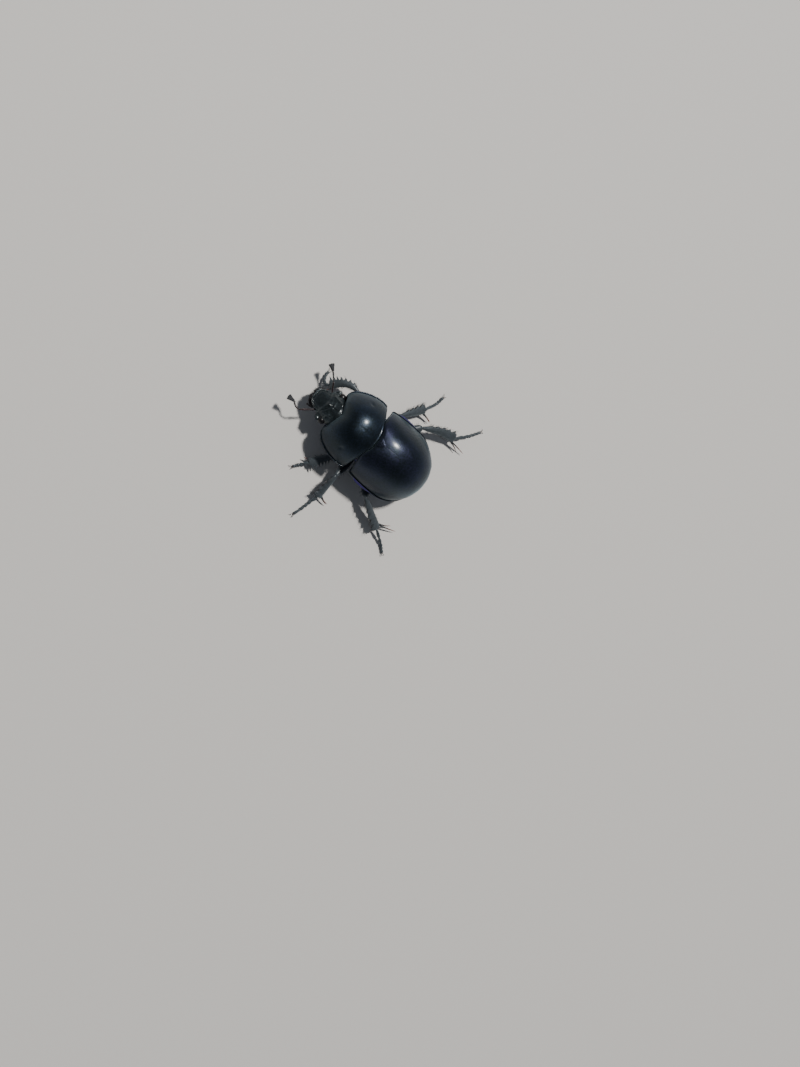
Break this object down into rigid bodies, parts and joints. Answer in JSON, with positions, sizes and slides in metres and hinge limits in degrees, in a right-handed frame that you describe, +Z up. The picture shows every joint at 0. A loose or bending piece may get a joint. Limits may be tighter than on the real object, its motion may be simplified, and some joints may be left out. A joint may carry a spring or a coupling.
{
  "type": "dor beetle",
  "caption": "Life-size still model of a walking blue-black dor beetle, a dung beetle, standing on its feet with its feelers spread.",
  "frame": {"origin": "middle of the footprint's bounding box, on the floor under the feet", "axes": "+Z up, -Y towards the head, +X towards the beetle's left"},
  "size_m": [0.0246, 0.0248, 0.0086],
  "materials": {
    "wing_case": "smooth blue-black chitin with a violet sheen and a clear gloss",
    "pronotum_shield": "smooth blue-black chitin, finely punctured, glossy",
    "head_plate": "wrinkled black chitin with a green-blue sheen",
    "underside": "metallic violet-blue chitin with dark hairs",
    "leg": "slate-black chitin, satin, with teeth, spurs and bristles",
    "eye": "polished black",
    "feeler": "dark red-brown stalk and downy grey club"
  },
  "bodies": {
    "root": {"abdomen": "underside", "antenna_club_left": "feeler", "antenna_club_right": "feeler", "antenna_left": "feeler", "antenna_right": "feeler", "elytron_left": "wing_case", "elytron_right": "wing_case", "eye_left": "eye", "eye_right": "eye", "fore_coxa_left": "underside", "fore_coxa_right": "underside", "fore_femur_left": "leg", "fore_femur_right": "leg", "fore_tarsus_left": "leg", "fore_tarsus_right": "leg", "fore_tibia_left": "leg", "fore_tibia_right": "leg", "head": "head_plate", "hind_coxa_left": "underside", "hind_coxa_right": "underside", "hind_femur_left": "leg", "hind_femur_right": "leg", "hind_tarsus_left": "leg", "hind_tarsus_right": "leg", "hind_thorax": "underside", "hind_tibia_left": "leg", "hind_tibia_right": "leg", "labial_palp_left": "feeler", "labial_palp_right": "feeler", "labrum": "head_plate", "mandible_left": "head_plate", "mandible_right": "head_plate", "maxillary_palp_left": "feeler", "maxillary_palp_right": "feeler", "middle_coxa_left": "underside", "middle_coxa_right": "underside", "middle_femur_left": "leg", "middle_femur_right": "leg", "middle_tarsus_left": "leg", "middle_tarsus_right": "leg", "middle_tibia_left": "leg", "middle_tibia_right": "leg", "pronotum": "pronotum_shield", "prosternum": "underside", "pygidium": "underside", "scutellum": "wing_case"}
  },
  "joints": []
}
